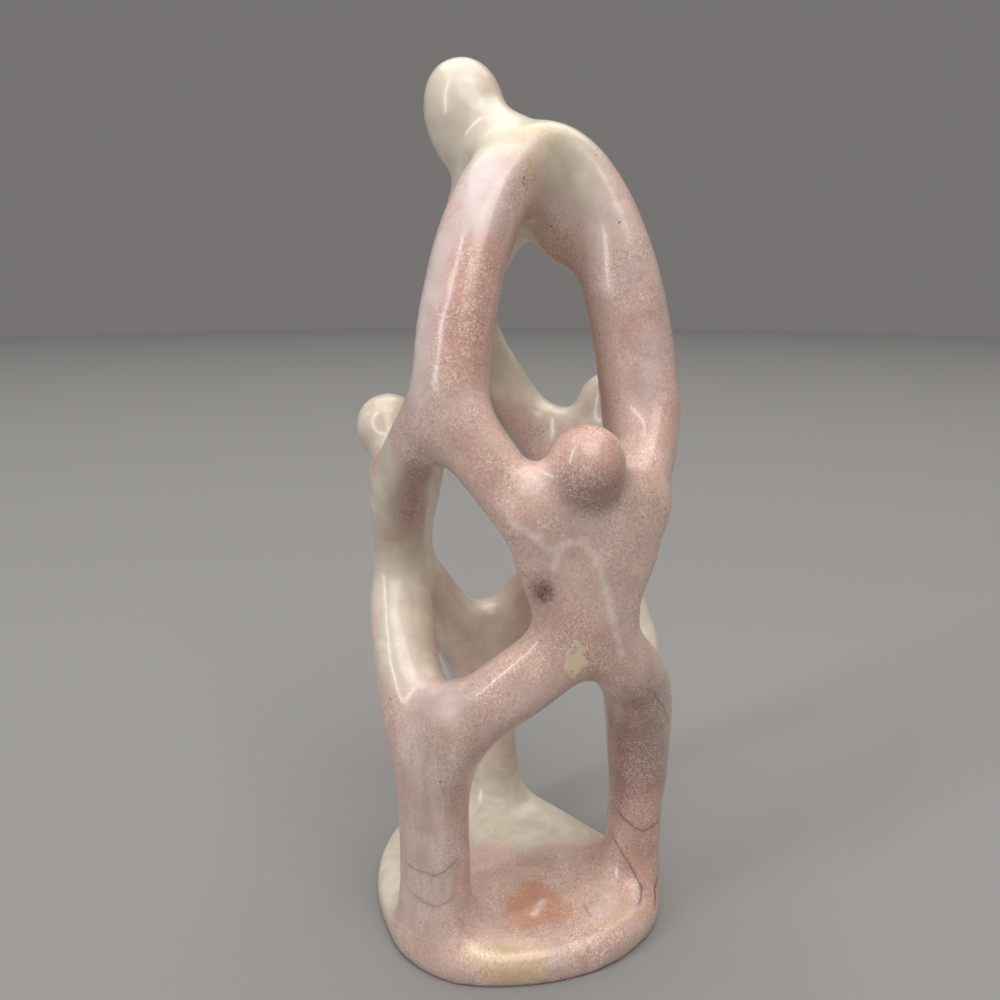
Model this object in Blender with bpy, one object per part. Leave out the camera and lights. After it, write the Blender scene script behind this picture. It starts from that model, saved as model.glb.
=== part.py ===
"""Family group sculpture carved from one block of soapstone.

Three children stand in a ring on a low base. Their spread feet share three posts and their raised
hands share three more, and on those hands stands a grown figure, whose two arms and body close the
ring at the shoulders. Every figure has a plain egg for a head. The stone is one closed body, open
in nine windows and hollow in the middle.

The origin is on the underside, on the axis of the ring. +Z is up and the front child faces -Y.
A bearing is the angle round the axis in degrees, from -Y towards +X.
"""
import math
from typing import NamedTuple

import bmesh
import bpy
from mathutils import Vector


class Spot(NamedTuple):
    """A place in the ring: bearing, distance from the axis and height."""

    bearing: float
    radius: float
    height: float


class Post(NamedTuple):
    """A post that two children's feet share: its foot's bearing and depth, and its width."""

    bearing: float
    depth: float
    width: float


class Child(NamedTuple):
    """A child: the middle of waist, chest and head, the stride, and the two corners it reaches.

    stride is how far a leg swings out, as a share of the way to the knee, before it turns down.
    """

    waist: Spot
    chest: Spot
    head: Spot
    stride: float
    corners: tuple


def in_ring(bearing: float, inset: float, height: float) -> Spot:
    """A place in the ring of children, a distance inside the base's radius."""
    return Spot(bearing, BASE_RADIUS - inset, height)


# The base
BASE_RADIUS = 0.055
BASE_TOE = 0.0052            # how far the front left foot pushes the rim out
BASE_TOE_BEARING = -52.0
BASE_TOE_SPREAD = 26.0
BASE_FLAT = 0.0157           # how deep the flat on the back right side is worked into the round
BASE_FLAT_BEARING = 116.0
BASE_FLAT_CORNER = 5.0       # how squarely the flat meets the round, more is squarer
BASE_RIM = 0.0128            # height of the rim
BASE_EDGE = 0.0065           # rounding of the rim's upper edge
BASE_RISE = 0.0065           # how far the top climbs towards the back post
BASE_RISE_BEARING = 176.0
BASE_HEEL = 0.0020           # height up to which the rim draws in towards the ground
BASE_HEEL_INSET = 0.0008
BASE_SINK = 0.0080           # how far the rough base goes below the ground before it is cut flat
BASE_SINK_INSET = 0.0020

# The corners of the ring, where two neighbours meet
POSTS = {
    "front_left": Post(-59.0, 0.0270, 0.0260),
    "front_right": Post(62.5, 0.0215, 0.0220),
    "back": Post(172.0, 0.0270, 0.0210),
}
KNEES = {
    "front_left": in_ring(-60.0, 0.0082, 0.0840),
    "front_right": in_ring(57.0, 0.0120, 0.0800),
    "back": in_ring(177.0, 0.0090, 0.0840),
}
CROTCHES = {
    "front_left": in_ring(-46.0, 0.0080, 0.0925),
    "front_right": in_ring(52.0, 0.0130, 0.0860),
    "back": in_ring(178.0, 0.0095, 0.0890),
}
HANDS = {
    "front_left": in_ring(-50.0, 0.0090, 0.1900),
    "front_right": in_ring(54.0, 0.0110, 0.1840),
    "back": in_ring(-174.0, 0.0100, 0.2030),
}
CROTCH = 0.0240              # width of the stone left between the legs over a post
FOOT_SPREAD = 1.42           # how much wider a post is at the base than above it
ANKLE_SPREAD = 1.08
POST_WALL = 0.0200           # thickness of a post in towards the axis
POST_BEND = 0.45             # share of the knee's height at which a post has turned upright

# The children
CHILDREN = {
    "front": Child(in_ring(3.0, 0.0080, 0.1240), in_ring(3.0, 0.0080, 0.1580),
                   in_ring(0.0, 0.0035, 0.1755), 0.42, ("front_left", "front_right")),
    "left": Child(in_ring(-118.0, 0.0120, 0.1335), in_ring(-118.0, 0.0135, 0.1620),
                  in_ring(-122.0, 0.0070, 0.1765), 0.30, ("back", "front_left")),
    "back": Child(in_ring(123.0, 0.0185, 0.1300), in_ring(122.0, 0.0160, 0.1620),
                  in_ring(114.0, 0.0100, 0.1815), 0.42, ("front_right", "back")),
}
BODY_WALL = 0.0185           # thickness of the children's bodies and arms, in towards the axis
LEG_WALL = 0.0230
LEG = 0.0215                 # width of a child's leg
LEG_ROOT = 0.04              # share of the way to the knee at which a leg leaves the body
SHIN_TAPER = 0.90
HIP_INSET = 0.0010           # how far the legs stand inside the middle of the waist
HIP_DROP = 0.0020            # how far below the waist a leg starts, then turns down
THIGH_DROP = 0.0220
KNEE_ABOVE = 0.0120          # how far a leg's path runs above and below the knee
KNEE_BELOW = 0.0440
ARM = 0.0195                 # width of a child's arm
ARM_ROOT_SPREAD = 1.15
ARM_ROOT = 0.10              # shares of the way to the hand at which an arm starts, lifts
ARM_LIFT = 0.36              # and turns up
ARM_TURN = 0.86
ARM_ROOT_DROP = 0.0180       # how far below the chest it starts, and above it where it lifts
ARM_LIFT_RISE = 0.0050
WRIST_BELOW = 0.0140         # how far an arm's path runs below and above the hand
WRIST_ABOVE = 0.0120
HIPS_BELOW = 0.0130          # how far the body's path runs below and above the waist
HIPS_ABOVE = 0.0120
CHIN = 0.0010                # how far below the middle of the head the body ends
TORSO_WIDTHS = (0.0337, 0.0362, 0.0487, 0.0580, 0.0464)    # from the hips to the chin
TORSO_WALLS = (BODY_WALL, BODY_WALL, BODY_WALL, BODY_WALL, 0.0148)
CHILD_HEAD = 0.0238          # width of a child's head
CHILD_HEAD_LENGTH = 0.0265
CHILD_HEAD_LEAN = 17.0       # degrees that a child's head leans out
CHILD_HEAD_NARROW = 0.05     # how much narrower an egg is at its foot, and wider at its top

# The grown figure
ARM_LEFT = 0.0225
ARM_LEFT_WALL = 0.0230
ARM_LEFT_INSET = 0.0         # how far inside the middle of the hands an arm starts
ARM_LEFT_RISE = 0.0600       # how high an arm climbs before it turns in to the shoulders
ARM_RIGHT = 0.0240
ARM_RIGHT_WALL = 0.0260
ARM_RIGHT_INSET = 0.0040
ARM_RIGHT_RISE = 0.0570
HAND_DEPTH = 0.0140          # how far below the middle of the hands the arms and body start
BODY_FOOT = in_ring(-166.0, 0.0100, 0.2030)
BODY_WIDTHS = (0.0255, 0.0255, 0.0360, 0.0400)             # from the hands to the shoulders
BODY_WALLS = (0.0240, 0.0240, 0.0240, 0.0220)
BODY_RISE = 0.0500
SHOULDER_LEVEL = 0.2655      # height of the shoulders, which carry the head
SHOULDERS = Spot(42.0, 0.0060, SHOULDER_LEVEL)
SHOULDER = 0.0245
ARCH_WEDGE = (0.0, 0.0, 0.0, 0.35, 0.60, 0.0, 0.0)         # share that the arms thin inwards
SHOULDER_REACH = 0.0150      # how far the arms run level through the shoulders, each way
YOKE_BELOW = 0.0165
YOKE = Spot(88.0, 0.0165, SHOULDER_LEVEL - YOKE_BELOW)
YOKE_WIDTH = 0.0270          # the mass behind the shoulders
YOKE_HEIGHT = 0.0360
HEAD_ABOVE = 0.0140
HEAD_SPOT = Spot(-146.0, 0.0238, SHOULDER_LEVEL + HEAD_ABOVE)
HEAD = 0.0275                # width of the grown figure's head
HEAD_LENGTH = 0.0410
HEAD_LEAN = 14.0
HEAD_NARROW = 0.12
NECK = 0.0190

# How the stone is worked
GRAIN = 0.0016               # size of the cells that the limbs are merged in
LIMB_FILLET = 0.0060
HEAD_FILLET = 0.0022
LIMB_POLISH = 8              # passes of smoothing
HEAD_POLISH = 4
TRIANGLES = 9600
LEVEL = 0.0003               # how near the ground the stone is taken to stand on it
SECTION_SIDES = 28
SECTION_POWER = 2.55         # 2 is an ellipse, more is squarer
SECTION_TAPER = 0.16         # how much narrower a limb is inside the ring than outside
SWEEP_STEPS = 30
END_STEPS = 4                # how many steps of a sweep its rounded end takes
END_BLUNT = 0.25             # share of the rounding that is left out at the very end
RIM_SIDES = 84
RIM_STEPS = 6
TOP_SHARES = (0.75, 0.50, 0.25, 0.03)    # how far out the rings on the base's top lie


def direction(bearing: float) -> Vector:
    """The level unit vector that points out from the axis at a bearing."""
    turn = math.radians(bearing)
    return Vector((math.sin(turn), -math.cos(turn), 0.0))


def place(bearing: float, radius: float, height: float) -> Vector:
    """The point at a bearing, a distance from the axis and a height."""
    return direction(bearing) * radius + Vector((0.0, 0.0, height))


def nearest_turn(bearing: float, reference: float) -> float:
    """The same bearing, counted the short way round from a reference."""
    return reference + (bearing - reference + 180.0) % 360.0 - 180.0


def bezier(points: list, share: float) -> Vector:
    """The point at a share of the way along a curve with these control points."""
    while len(points) > 1:
        points = [a.lerp(b, share) for a, b in zip(points, points[1:])]
    return points[0]


def along(values: tuple, share: float) -> float:
    """A size that passes smoothly through evenly spaced values."""
    place_on = share * (len(values) - 1)
    index = min(int(place_on), len(values) - 2)
    part = place_on - index
    ease = part * part * (3.0 - 2.0 * part)
    return values[index] * (1.0 - ease) + values[index + 1] * ease


def signed_power(value: float, power: float) -> float:
    """A power that keeps the sign."""
    return math.copysign(abs(value) ** power, value)


def loft(bm: bmesh.types.BMesh, rings: list) -> None:
    """Skin a row of closed rings and cap both ends."""
    rows = [[bm.verts.new(point) for point in ring] for ring in rings]
    count = len(rows[0])
    for lower, upper in zip(rows, rows[1:]):
        for i in range(count):
            j = (i + 1) % count
            bm.faces.new((lower[i], lower[j], upper[j], upper[i]))
    bm.faces.new(reversed(rows[0]))
    bm.faces.new(rows[-1])


def limb(bm: bmesh.types.BMesh, path: list, across: tuple, deep: tuple, core=None,
         wedge: tuple = (0.0, 0.0)) -> None:
    """Sweep a limb along a path, with its broad face turned away from the core.

    path holds points; across and deep are full sizes and wedge the share of the width that the
    inner side loses, all evenly spaced along the path. Without a core the limb faces the axis at
    its own height.
    """
    rings = []
    last = len(path) - 1
    for step, point in enumerate(path):
        ahead = path[min(step + 1, last)] - path[max(step - 1, 0)]
        ahead.normalize()
        centre = Vector((0.0, 0.0, point.z)) if core is None else core
        outward = point - centre
        outward -= ahead * outward.dot(ahead)
        outward.normalize()
        sideways = ahead.cross(outward)
        share = step / last
        inward = min(1.0, END_BLUNT + min(step, last - step) / END_STEPS)
        rounding = math.sqrt(1.0 - (1.0 - inward) ** 2)
        half_across = rounding * along(across, share) / 2.0
        half_deep = rounding * along(deep, share) / 2.0
        loss = along(wedge, share) / 2.0
        ring = []
        for side in range(SECTION_SIDES):
            angle = 2.0 * math.pi * side / SECTION_SIDES
            x = half_deep * signed_power(math.cos(angle), 2.0 / SECTION_POWER)
            y = half_across * signed_power(math.sin(angle), 2.0 / SECTION_POWER)
            y *= 1.0 - loss + (SECTION_TAPER + loss) * x / half_deep
            ring.append(point + outward * x + sideways * y)
        rings.append(ring)
    loft(bm, rings)


def ring_path(spots: list) -> list:
    """A smooth path in the ring whose control points are spots."""
    first = spots[0].bearing
    turned = [Vector((nearest_turn(s.bearing, first), s.radius, s.height)) for s in spots]
    return [place(*bezier(turned, step / SWEEP_STEPS)) for step in range(SWEEP_STEPS + 1)]


def egg(bm: bmesh.types.BMesh, spot: Spot, width: float, length: float, lean: float = 0.0,
        narrow: float = 0.0) -> None:
    """An egg that stands on its narrow end and leans out from the axis."""
    centre = place(*spot)
    tilt = math.radians(lean)
    out = direction(spot.bearing)
    up = out * math.sin(tilt) + Vector((0.0, 0.0, math.cos(tilt)))
    front = out * math.cos(tilt) - Vector((0.0, 0.0, math.sin(tilt)))
    side = up.cross(front)
    turns = [2.0 * math.pi * k / SECTION_SIDES for k in range(SECTION_SIDES)]
    rings = []
    rows = SECTION_SIDES // 2
    for row in range(1, rows):
        angle = math.pi * row / rows
        level = -math.cos(angle)
        radius = width / 2.0 * math.sin(angle) * (1.0 + narrow * level)
        middle = centre + up * (level * length / 2.0)
        rings.append([middle + front * radius * math.cos(a) + side * radius * math.sin(a)
                      for a in turns])
    loft(bm, rings)


def base_radius(bearing: float) -> float:
    """The plan radius of the base at a bearing."""
    away = nearest_turn(bearing, BASE_TOE_BEARING) - BASE_TOE_BEARING
    radius = BASE_RADIUS + BASE_TOE * math.exp(-(away / BASE_TOE_SPREAD) ** 2)
    facing = math.cos(math.radians(bearing - BASE_FLAT_BEARING))
    if facing > 0.0:
        chord = (BASE_RADIUS - BASE_FLAT) / facing
        power = -BASE_FLAT_CORNER
        radius = (radius ** power + chord ** power) ** (1.0 / power)
    return radius


def base_top(point: Vector) -> float:
    """The height of the base's top at a point in plan."""
    reach = point.dot(direction(BASE_RISE_BEARING)) / BASE_RADIUS
    return BASE_RIM + BASE_RISE * max(0.0, reach) ** 1.5


def base(bm: bmesh.types.BMesh) -> None:
    """The low base, with an upright rim and a softly rounded upper edge."""
    bearings = [360.0 * k / RIM_SIDES for k in range(RIM_SIDES)]
    rings = []
    for height, inset in ((-BASE_SINK, BASE_SINK_INSET), (BASE_HEEL, BASE_HEEL_INSET)):
        rings.append([place(b, base_radius(b) - inset, height) for b in bearings])
    for step in range(RIM_STEPS + 1):
        turn = 0.5 * math.pi * step / RIM_STEPS
        inset = BASE_EDGE * (1.0 - math.cos(turn))
        ring = []
        for b in bearings:
            point = place(b, base_radius(b) - inset, 0.0)
            point.z = base_top(point) - BASE_EDGE * (1.0 - math.sin(turn))
            ring.append(point)
        rings.append(ring)
    for share in TOP_SHARES:
        ring = []
        for b in bearings:
            point = place(b, (base_radius(b) - BASE_EDGE) * share, 0.0)
            point.z = base_top(point)
            ring.append(point)
        rings.append(ring)
    loft(bm, rings)


def post(bm: bmesh.types.BMesh, corner: str) -> None:
    """The post at a corner, from the base to the knees, and the stone between the legs over it.

    Its foot reaches the rim of the base, so the outer face runs down into it.
    """
    knee, shape = KNEES[corner], POSTS[corner]
    foot_radius = base_radius(shape.bearing) - shape.depth / 2.0
    path = ring_path([
        Spot(shape.bearing, foot_radius, 0.0),
        Spot(shape.bearing, foot_radius, BASE_RIM),
        Spot(knee.bearing, knee.radius, knee.height * POST_BEND),
        knee,
    ])
    width = shape.width
    across = (width * FOOT_SPREAD, width * ANKLE_SPREAD, width, width, width)
    deep = (shape.depth, LEG_WALL, POST_WALL, POST_WALL, LEG_WALL)
    limb(bm, path, across, deep)
    egg(bm, CROTCHES[corner], CROTCH, CROTCH)


def leg(bm: bmesh.types.BMesh, child: Child, knee: Spot) -> None:
    """A child's leg, from the waist out to the knee and down into the post."""
    waist = child.waist
    swing = nearest_turn(knee.bearing, waist.bearing) - waist.bearing
    path = ring_path([
        Spot(waist.bearing + LEG_ROOT * swing, waist.radius, waist.height - HIP_DROP),
        Spot(waist.bearing + child.stride * swing, waist.radius - HIP_INSET,
             waist.height - THIGH_DROP),
        Spot(knee.bearing, knee.radius, knee.height + KNEE_ABOVE),
        Spot(knee.bearing, knee.radius, knee.height - KNEE_BELOW),
    ])
    limb(bm, path, (LEG, LEG, LEG, LEG * SHIN_TAPER), (BODY_WALL, LEG_WALL, LEG_WALL, POST_WALL))


def arm(bm: bmesh.types.BMesh, child: Child, hand: Spot) -> None:
    """A child's raised arm, from the chest to the hand."""
    chest = child.chest
    swing = nearest_turn(hand.bearing, chest.bearing) - chest.bearing
    path = ring_path([
        Spot(chest.bearing + ARM_ROOT * swing, chest.radius, chest.height - ARM_ROOT_DROP),
        Spot(chest.bearing + ARM_LIFT * swing, chest.radius, chest.height + ARM_LIFT_RISE),
        Spot(chest.bearing + ARM_TURN * swing, hand.radius, hand.height - WRIST_BELOW),
        Spot(hand.bearing, hand.radius, hand.height + WRIST_ABOVE),
    ])
    limb(bm, path, (ARM * ARM_ROOT_SPREAD, ARM, ARM, ARM), (BODY_WALL, BODY_WALL))


def torso(bm: bmesh.types.BMesh, child: Child) -> None:
    """A child's body between the hips and the chin."""
    waist, chest = child.waist, child.chest
    path = ring_path([
        Spot(waist.bearing, waist.radius, waist.height - HIPS_BELOW),
        Spot(waist.bearing, waist.radius, waist.height + HIPS_ABOVE),
        chest,
        Spot(chest.bearing, chest.radius, child.head.height - CHIN),
    ])
    limb(bm, path, TORSO_WIDTHS, TORSO_WALLS)


def rise_path(hand: Spot, inset: float, rise: float, reach: Vector) -> list:
    """The way up from two children's joined hands to the middle of the shoulders.

    inset is how far inside the middle of the hands it starts, rise how high it climbs before it
    turns in, reach where it comes from as it runs into the shoulders.
    """
    start = place(hand.bearing, hand.radius - inset, hand.height - HAND_DEPTH)
    crown = place(*SHOULDERS)
    points = [start, start + Vector((0.0, 0.0, rise)), crown + reach, crown]
    return [bezier(points, step / SWEEP_STEPS) for step in range(SWEEP_STEPS + 1)]


def grown_figure(bm: bmesh.types.BMesh) -> None:
    """The grown figure: two arms that make one arch, the body behind it, and the neck."""
    left, right = HANDS["front_left"], HANDS["front_right"]
    level = place(*right) - place(*left)
    level.z = 0.0
    level.normalize()
    core = Vector((0.0, 0.0, left.height))
    left_arm = rise_path(left, ARM_LEFT_INSET, ARM_LEFT_RISE, level * -SHOULDER_REACH)
    right_arm = rise_path(right, ARM_RIGHT_INSET, ARM_RIGHT_RISE, level * SHOULDER_REACH)
    across = (ARM_LEFT,) * 3 + (SHOULDER,) + (ARM_RIGHT,) * 3
    deep = (ARM_LEFT_WALL,) * 3 + (SHOULDER,) + (ARM_RIGHT_WALL,) * 3
    limb(bm, left_arm + right_arm[-2::-1], across, deep, core, ARCH_WEDGE)
    backward = direction(HANDS["back"].bearing)
    body = rise_path(BODY_FOOT, 0.0, BODY_RISE, backward * SHOULDER_REACH)
    limb(bm, body, BODY_WIDTHS, BODY_WALLS, core)
    egg(bm, YOKE, YOKE_WIDTH, YOKE_HEIGHT)
    crown, head = place(*SHOULDERS), place(*HEAD_SPOT)
    neck = [crown.lerp(head, step / SWEEP_STEPS) for step in range(SWEEP_STEPS + 1)]
    limb(bm, neck, (NECK, NECK), (NECK, NECK), core)


def mesh_of(bm: bmesh.types.BMesh, name: str) -> bpy.types.Mesh:
    """Turn a bmesh into a mesh and free it."""
    mesh = bpy.data.meshes.new(name)
    bm.to_mesh(mesh)
    bm.free()
    return mesh


def linked(mesh: bpy.types.Mesh) -> bpy.types.Object:
    """A passing object that holds a mesh while modifiers work on it."""
    obj = bpy.data.objects.new(mesh.name, mesh)
    bpy.context.collection.objects.link(obj)
    return obj


def worked(obj: bpy.types.Object) -> bpy.types.Mesh:
    """The object's mesh with its modifiers applied; the object goes."""
    graph = bpy.context.evaluated_depsgraph_get()
    mesh = bpy.data.meshes.new_from_object(obj.evaluated_get(graph), depsgraph=graph)
    bpy.data.objects.remove(obj)
    return mesh


def add_remesh(obj: bpy.types.Object) -> None:
    """Merge all that overlaps into one skin."""
    remesh = obj.modifiers.new("merge", "REMESH")
    remesh.mode = "VOXEL"
    remesh.voxel_size = GRAIN
    remesh.adaptivity = 0.0


def add_swell(obj: bpy.types.Object, amount: float) -> None:
    """Move the skin out by an amount, or in where it is negative."""
    swell = obj.modifiers.new("swell", "DISPLACE")
    swell.mid_level = 0.0
    swell.strength = amount


def melt(mesh: bpy.types.Mesh, fillet: float, passes: int) -> bpy.types.Mesh:
    """Merge overlapping limbs into one stone, with a fillet in every hollow corner."""
    rough = linked(mesh)
    add_remesh(rough)
    add_swell(rough, fillet)
    add_remesh(rough)
    add_swell(rough, -fillet)
    add_remesh(rough)
    polish = rough.modifiers.new("polish", "SMOOTH")
    polish.factor = 0.5
    polish.iterations = passes
    return worked(rough)


def rough_limbs() -> bpy.types.Mesh:
    """The base, the children and the grown figure without their heads."""
    bm = bmesh.new()
    base(bm)
    for corner in POSTS:
        post(bm, corner)
    for child in CHILDREN.values():
        torso(bm, child)
        for corner in child.corners:
            leg(bm, child, KNEES[corner])
            arm(bm, child, HANDS[corner])
    grown_figure(bm)
    return mesh_of(bm, "limbs")


def with_heads(stone: bpy.types.Mesh) -> bpy.types.Mesh:
    """Add the four heads to the filleted limbs."""
    bm = bmesh.new()
    bm.from_mesh(stone)
    for child in CHILDREN.values():
        egg(bm, child.head, CHILD_HEAD, CHILD_HEAD_LENGTH, CHILD_HEAD_LEAN, CHILD_HEAD_NARROW)
    egg(bm, HEAD_SPOT, HEAD, HEAD_LENGTH, HEAD_LEAN, HEAD_NARROW)
    return mesh_of(bm, "figures")


def set_level(mesh: bpy.types.Mesh) -> None:
    """Bring all that lies just off the ground exactly onto it."""
    for vertex in mesh.vertices:
        if abs(vertex.co.z) <= LEVEL:
            vertex.co.z = 0.0


def cut_flat(mesh: bpy.types.Mesh) -> None:
    """Cut the base off flat where it stands, and close it with one level face."""
    bm = bmesh.new()
    bm.from_mesh(mesh)
    cut = bmesh.ops.bisect_plane(bm, geom=bm.verts[:] + bm.edges[:] + bm.faces[:],
                                 dist=LEVEL, plane_co=(0.0, 0.0, 0.0),
                                 plane_no=(0.0, 0.0, 1.0), clear_inner=True)
    rim = [item for item in cut["geom_cut"] if isinstance(item, bmesh.types.BMEdge)]
    bmesh.ops.contextual_create(bm, geom=rim)
    bmesh.ops.triangulate(bm, faces=bm.faces[:])
    bmesh.ops.recalc_face_normals(bm, faces=bm.faces[:])
    bm.to_mesh(mesh)
    bm.free()
    set_level(mesh)


def thin_out(mesh: bpy.types.Mesh) -> bpy.types.Mesh:
    """Bring the fine skin down to the triangles that the form needs."""
    fine = linked(mesh)
    decimate = fine.modifiers.new("thin", "DECIMATE")
    decimate.use_collapse_triangulate = True
    decimate.ratio = TRIANGLES / len(mesh.polygons)
    thin = worked(fine)
    set_level(thin)
    return thin


def soapstone() -> bpy.types.Material:
    """Polished pink and cream soapstone."""
    material = bpy.data.materials.new("soapstone")
    material.use_nodes = True
    shader = material.node_tree.nodes["Principled BSDF"]
    shader.inputs["Base Color"].default_value = (0.62, 0.47, 0.42, 1.0)
    shader.inputs["Roughness"].default_value = 0.34
    shader.inputs["Metallic"].default_value = 0.0
    material.diffuse_color = (0.62, 0.47, 0.42, 1.0)
    return material


def main() -> None:
    """Clear the scene and carve the family group."""
    for obj in list(bpy.data.objects):
        bpy.data.objects.remove(obj)
    stone = melt(rough_limbs(), LIMB_FILLET, LIMB_POLISH)
    stone = melt(with_heads(stone), HEAD_FILLET, HEAD_POLISH)
    cut_flat(stone)
    stone = thin_out(stone)
    stone.name = "family_group"
    stone.materials.clear()
    stone.materials.append(soapstone())
    stone.shade_smooth()
    group = bpy.data.objects.new("family_group", stone)
    bpy.context.collection.objects.link(group)


if __name__ == "__main__":
    main()
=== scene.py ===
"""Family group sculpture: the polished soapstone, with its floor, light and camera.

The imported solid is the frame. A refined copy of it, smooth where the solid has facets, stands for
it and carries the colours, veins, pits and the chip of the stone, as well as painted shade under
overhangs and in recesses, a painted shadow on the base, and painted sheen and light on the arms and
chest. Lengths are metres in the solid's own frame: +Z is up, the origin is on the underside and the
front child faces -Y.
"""
import logging
import math
from dataclasses import dataclass, field
from enum import Enum

import bmesh
import bpy
import numpy as np
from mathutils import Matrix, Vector


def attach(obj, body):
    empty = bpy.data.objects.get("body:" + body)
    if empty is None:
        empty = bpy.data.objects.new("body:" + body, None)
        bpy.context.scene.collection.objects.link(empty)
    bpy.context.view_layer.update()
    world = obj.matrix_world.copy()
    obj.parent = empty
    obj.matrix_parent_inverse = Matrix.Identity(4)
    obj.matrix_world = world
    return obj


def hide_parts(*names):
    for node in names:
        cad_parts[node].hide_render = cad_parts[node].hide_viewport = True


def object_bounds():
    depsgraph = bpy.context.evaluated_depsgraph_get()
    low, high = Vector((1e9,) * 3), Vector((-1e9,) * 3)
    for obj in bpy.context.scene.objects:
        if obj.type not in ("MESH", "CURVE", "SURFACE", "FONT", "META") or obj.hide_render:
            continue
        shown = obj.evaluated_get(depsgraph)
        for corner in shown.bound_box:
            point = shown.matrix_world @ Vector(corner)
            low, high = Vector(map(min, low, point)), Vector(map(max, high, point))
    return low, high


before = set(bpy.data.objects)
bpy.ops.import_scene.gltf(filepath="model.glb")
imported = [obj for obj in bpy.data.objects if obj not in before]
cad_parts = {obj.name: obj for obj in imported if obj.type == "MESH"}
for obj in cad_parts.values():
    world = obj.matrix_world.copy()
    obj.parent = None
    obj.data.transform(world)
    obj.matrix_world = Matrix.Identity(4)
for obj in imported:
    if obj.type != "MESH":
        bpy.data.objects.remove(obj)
cad_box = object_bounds()

LOG = logging.getLogger("family_group")
MM = 0.001


def spot(x: float, y: float, z: float) -> Vector:
    """A place in the frame.

    Args:
        x: millimetres to the right, as the front child is faced.
        y: millimetres away from whoever faces the front child.
        z: millimetres up from the underside.

    Returns:
        The place in metres.
    """
    return Vector((x, y, z)) * MM


class Tint(Enum):
    """A tint laid on the stone, named as the mesh attribute that says where it shows.

    Most are the stone's own colour. The mauve and grey tints also carry painted shade, and the
    pale lilac tint also carries painted sheen and painted light.
    """

    CREAM = "cream"
    ROSE = "rose"
    MAUVE_AND_SHADE = "mauve_and_shade"
    GREY_AND_SHADE = "grey_and_shade"
    OCHRE = "ochre"
    ORANGE = "orange"
    PALE = "pale"
    MIST = "lilac_and_sheen"


@dataclass(frozen=True)
class Zone:
    """A stretch of stone of one tint, strongest on a line and fading out at its reach."""

    tint: Tint
    start: Vector
    end: Vector
    reach: float                     # millimetres
    strength: float = 1.0            # the tint's share on the line

    def weights(self, points: np.ndarray) -> np.ndarray:
        """How strongly the tint shows at each point.

        Args:
            points: rows of x, y and z in metres.

        Returns:
            One share from 0 to the zone's strength for each row.
        """
        start, line = np.array(self.start), np.array(self.end - self.start)
        share = np.clip((points - start) @ line / (line @ line), 0.0, 1.0)
        away = np.linalg.norm(points - start - share[:, None] * line, axis=1)
        near = np.clip(1.0 - away / (self.reach * MM), 0.0, 1.0)
        return self.strength * near * near * (3.0 - 2.0 * near)


@dataclass(frozen=True)
class Vein:
    """A dark hairline where a natural sheet in the stone, through three places, meets the skin."""

    first: Vector
    second: Vector
    third: Vector
    width: float = 0.34              # millimetres
    strength: float = 0.8            # how dark its core is
    spread: float = 1.25             # how far it shows, by the farthest of the three places

    def normal(self) -> Vector:
        """Find which way the sheet faces.

        Returns:
            The unit vector across the sheet.
        """
        return (self.second - self.first).cross(self.third - self.first).normalized()

    def middle(self) -> Vector:
        """Find where the hairline is centred.

        Returns:
            The middle of the three places.
        """
        return (self.first + self.second + self.third) / 3.0

    def reach(self) -> float:
        """Find how far the hairline shows.

        Returns:
            The distance from its middle, in metres.
        """
        places = (self.first, self.second, self.third)
        return self.spread * max((place - self.middle()).length for place in places)


@dataclass(frozen=True)
class Noise:
    """Noise over the stone, one band of which is carried over smoothly to a result."""

    cells: float                     # cells in a metre
    detail: float                    # how much finer noise it carries
    curl: float                      # how far it curls
    band: tuple                      # the two values between which the result changes
    result: tuple                    # the result at each of them


@dataclass(frozen=True)
class Patch:
    """A ragged patch of another tone round a place."""

    centre: Vector
    size: tuple                      # half sizes along x, y and z, in millimetres
    soft: float                      # how soft its edge is, as a share of its size
    rag: float                       # how ragged its edge is, as a share of its size
    strength: float                  # the tone's share in the middle
    teeth: float = 620.0             # how fine the raggedness is, in cells in a metre


def chain(tint: Tint, places: tuple, reach: float, strength: float) -> tuple:
    """Zones that follow a row of places.

    Args:
        tint: the tint of every zone.
        places: the places, in order.
        reach: how far each zone reaches, in millimetres.
        strength: the strongest share.

    Returns:
        One zone between each two neighbours.
    """
    return tuple(Zone(tint, a, b, reach, strength) for a, b in zip(places, places[1:]))


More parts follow.
